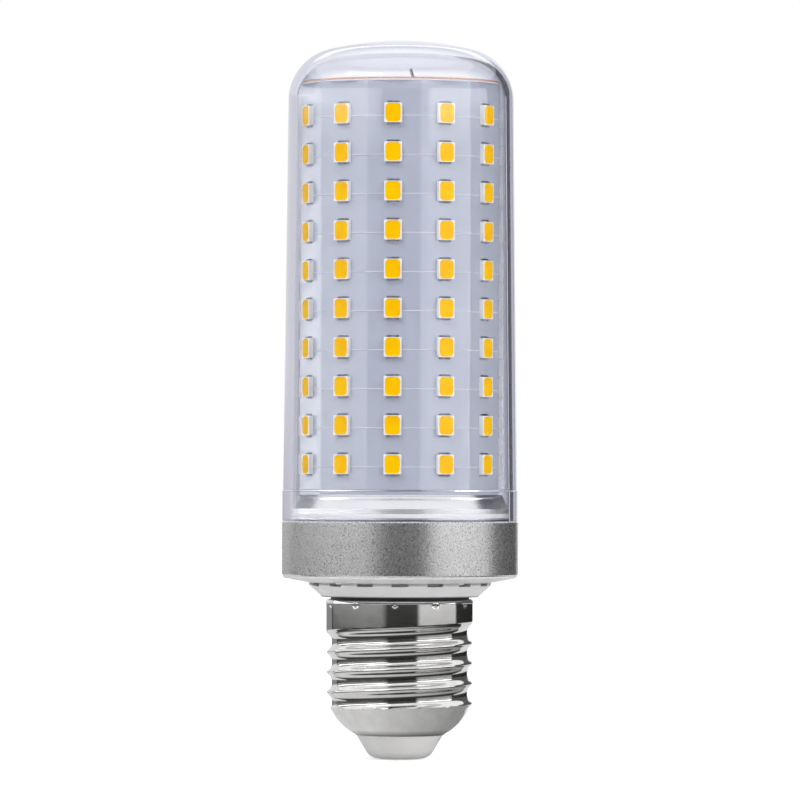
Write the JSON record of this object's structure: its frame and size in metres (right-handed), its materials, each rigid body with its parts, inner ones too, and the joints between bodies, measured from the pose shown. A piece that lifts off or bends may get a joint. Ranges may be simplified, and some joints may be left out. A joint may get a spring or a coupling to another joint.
{
  "type": "led light bulb",
  "caption": "Corn-type LED light bulb with a clear domed cover, columns of yellow light packages, a silver collar, a vented white base and a 27 mm screw cap.",
  "frame": {"origin": "centre of the bottom contact's flat face, on the bulb's axis", "axes": "+Z along the axis from the contact to the dome; -Y is the side that the picture shows, +X is to its right"},
  "size_m": [0.0425, 0.0424, 0.1293],
  "materials": {
    "clear_plastic": "clear moulded polycarbonate",
    "white_mask": "satin white solder mask",
    "board_edge": "satin white mask with a bare laminate edge",
    "package_white": "moulded white",
    "phosphor": "amber-yellow silicone",
    "blasted_aluminium": "bead blasted and anodised",
    "silicone_white": "cured silicone glue",
    "white_plastic": "moulded satin",
    "plated_shell": "bright nickel plate",
    "insulator_white": "moulded",
    "contact_plated": "plated and pressed",
    "driver_green": "green solder mask",
    "resistor_body": "lacquered",
    "ferrite": "sintered",
    "copper_winding": "enamelled copper",
    "can_sleeve": "shrink sleeve",
    "chip_black": "moulded",
    "wire_red": "insulation",
    "wire_black": "insulation"
  },
  "bodies": {
    "root": {"clear_cover": "clear_plastic", "led_board": "white_mask", "end_board": "board_edge", "end_led_packages": "package_white", "end_led_windows": "phosphor", "collar": "blasted_aluminium", "glue_ring": "silicone_white", "plastic_base": "white_plastic", "screw_shell": "plated_shell", "cap_insulator": "insulator_white", "centre_contact": "contact_plated", "driver_board": "driver_green", "fuse_resistor": "resistor_body", "choke_core": "ferrite", "choke_winding": "copper_winding", "input_capacitor": "can_sleeve", "output_capacitor": "can_sleeve", "bridge_rectifier": "chip_black", "driver_chip": "chip_black", "output_diode": "chip_black", "chip_resistors": "chip_black", "live_wire": "wire_red", "neutral_wire": "wire_black", "led_positive_wire": "wire_red", "led_negative_wire": "wire_black", "led_packages_01": "package_white", "led_packages_02": "package_white", "led_packages_03": "package_white", "led_packages_04": "package_white", "led_packages_05": "package_white", "led_packages_06": "package_white", "led_packages_07": "package_white", "led_packages_08": "package_white", "led_packages_09": "package_white", "led_packages_10": "package_white", "led_packages_11": "package_white", "led_packages_12": "package_white", "led_windows_01": "phosphor", "led_windows_02": "phosphor", "led_windows_03": "phosphor", "led_windows_04": "phosphor", "led_windows_05": "phosphor", "led_windows_06": "phosphor", "led_windows_07": "phosphor", "led_windows_08": "phosphor", "led_windows_09": "phosphor", "led_windows_10": "phosphor", "led_windows_11": "phosphor", "led_windows_12": "phosphor"}
  },
  "joints": []
}
